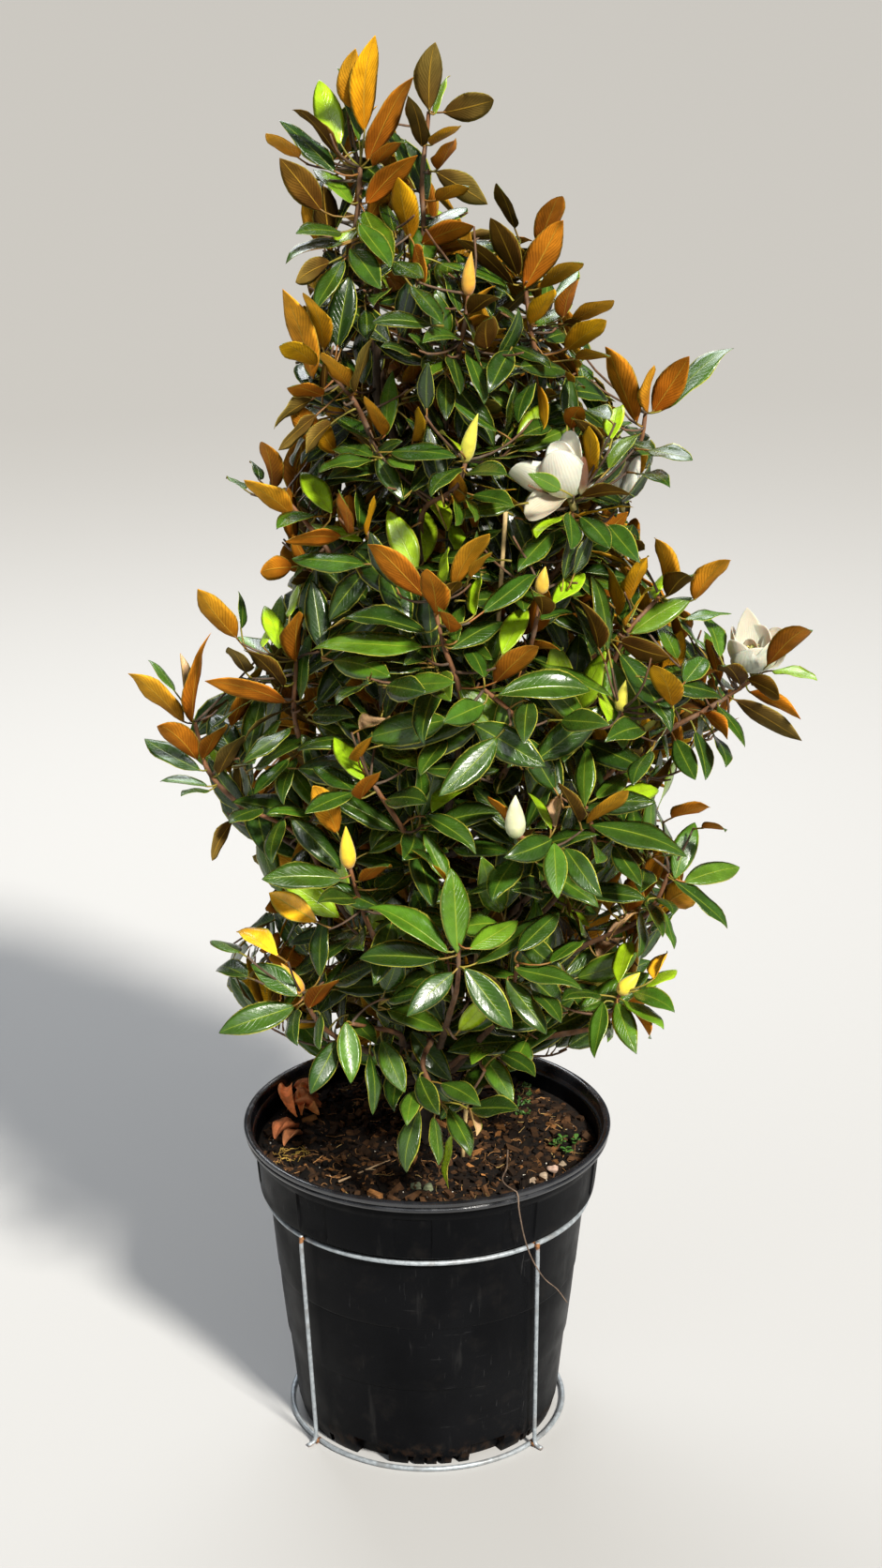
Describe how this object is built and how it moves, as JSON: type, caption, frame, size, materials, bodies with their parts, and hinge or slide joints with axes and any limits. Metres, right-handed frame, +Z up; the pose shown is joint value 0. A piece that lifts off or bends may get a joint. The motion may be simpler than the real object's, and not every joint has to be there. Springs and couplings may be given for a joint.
{
  "type": "potted magnolia shrub",
  "caption": "Bushy evergreen magnolia with rust-backed leaves and cream flowers in a ribbed black nursery pot, standing in a galvanised wire hoop stand.",
  "frame": {"origin": "centre of the pot's flat base, on the ground", "axes": "+Z up along the pot's axis; -Y is the front seen in the picture; +X is to its right"},
  "size_m": [0.9525, 0.8428, 1.932],
  "materials": {
    "pot": "scuffed satin",
    "wire": "dull galvanised, rusty at the welds",
    "soil": "loose bark mix",
    "bark": "smooth grey-brown bark",
    "cane": "dry cane",
    "leaf": "glossy above, rusty felt below",
    "petal": "waxy",
    "dead": "dry",
    "stone": "rough",
    "moss": "soft",
    "dry": "dry"
  },
  "bodies": {
    "root": {"cane_stake": "cane", "dead_leaf_1": "dead", "dead_leaf_2": "dead", "dry_stem": "dry", "dry_twig": "dry", "flower_1": "petal", "flower_2": "petal", "flower_3": "petal", "main_stem": "bark", "mossy_stones": "stone", "nursery_pot": "pot", "potting_mix": "soil", "shoot_AA": "leaf", "shoot_B": "leaf", "shoot_C": "leaf", "shoot_D": "leaf", "shoot_E": "leaf", "shoot_F": "leaf", "shoot_FL1": "leaf", "shoot_FL2": "leaf", "shoot_G": "leaf", "shoot_H": "leaf", "shoot_I": "leaf", "shoot_J": "leaf", "shoot_K": "leaf", "shoot_L": "leaf", "shoot_LA": "leaf", "shoot_LB": "leaf", "shoot_LC": "leaf", "shoot_M": "leaf", "shoot_N": "leaf", "shoot_O": "leaf", "shoot_P": "leaf", "shoot_PL": "leaf", "shoot_Q": "leaf", "shoot_R": "leaf", "shoot_S": "leaf", "shoot_T": "leaf", "shoot_U": "leaf", "shoot_V": "leaf", "shoot_W": "leaf", "shoot_X": "leaf", "shoot_Z": "leaf", "shoot_back_1": "leaf", "shoot_back_2": "leaf", "shoot_back_3": "leaf", "shoot_back_4": "leaf", "shoot_back_5": "leaf", "shoot_back_6": "leaf", "shoot_back_7": "leaf", "shoot_back_8": "leaf", "stand_bottom_hoop": "wire", "stand_leg_1": "wire", "stand_leg_2": "wire", "stand_leg_3": "wire", "stand_leg_4": "wire", "stand_top_hoop": "wire", "tan_stones": "stone", "weed_sprout": "moss"}
  },
  "joints": []
}
